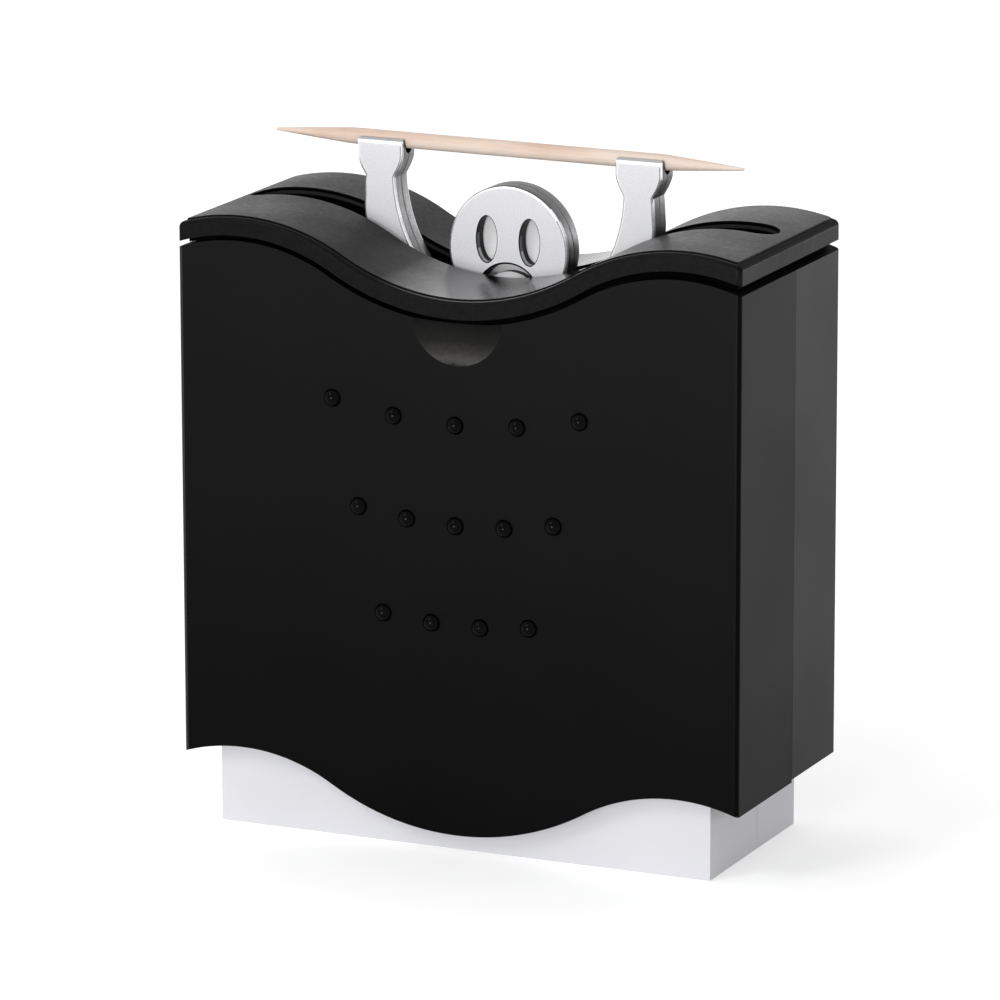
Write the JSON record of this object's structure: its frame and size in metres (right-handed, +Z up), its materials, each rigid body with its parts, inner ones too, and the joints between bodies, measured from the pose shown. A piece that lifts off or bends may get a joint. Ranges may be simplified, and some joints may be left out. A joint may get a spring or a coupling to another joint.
{
  "type": "toothpick dispenser",
  "caption": "Press-down toothpick dispenser: a wave-edged black housing slides over a pale base and a silver figure rises through the lid's slot with a toothpick.",
  "frame": {"origin": "on the table, at the base's flat underside, below the middle of the housing", "axes": "+X to the right along the front, +Y from the front to the back, +Z up, along the housing's travel"},
  "size_m": [0.078, 0.0341, 0.09],
  "materials": {
    "pale_plastic": "smooth satin",
    "figure_silver": "satin silver paint",
    "post_plastic": "satin",
    "black_plastic": "satin",
    "lid_black": "fine-textured matte",
    "hopper_black": "matte",
    "gloss_black": "glossy",
    "toothpick_wood": "smooth raw birch",
    "screw_steel": "plated",
    "spring_steel": "bright wire"
  },
  "bodies": {
    "base": {"base_front_half": "pale_plastic", "base_rear_half": "pale_plastic", "base_bottom_plate": "pale_plastic", "base_plate_screws": "screw_steel", "figure_front_half": "figure_silver", "figure_rear_half": "figure_silver", "figure_post": "post_plastic", "figure_cross_screws": "screw_steel", "figure_foot_screws": "screw_steel", "return_spring_left": "spring_steel", "return_spring_right": "spring_steel"},
    "housing": {"front_shell": "black_plastic", "rear_shell": "black_plastic", "shell_screws": "screw_steel", "front_studs": "gloss_black", "hopper": "hopper_black", "stored_toothpicks": "toothpick_wood"},
    "lid": {"lid_cover": "lid_black", "lid_liner": "hopper_black", "lid_liner_screws": "screw_steel"},
    "toothpick": {"toothpick": "toothpick_wood"}
  },
  "joints": [
    {"name": "housing_slide", "type": "slide", "parent": "base", "child": "housing", "axis": [0, 0, 1], "range_m": [0, 0.0275], "deforming": ["return_spring_left", "return_spring_right"]},
    {"name": "lid_lift", "type": "slide", "parent": "housing", "child": "lid", "axis": [0, 0, 1], "range_m": [0, 0.03]},
    {"name": "toothpick_lift", "type": "slide", "parent": "base", "child": "toothpick", "axis": [0, 0, 1], "range_m": [0, 0.03]}
  ]
}
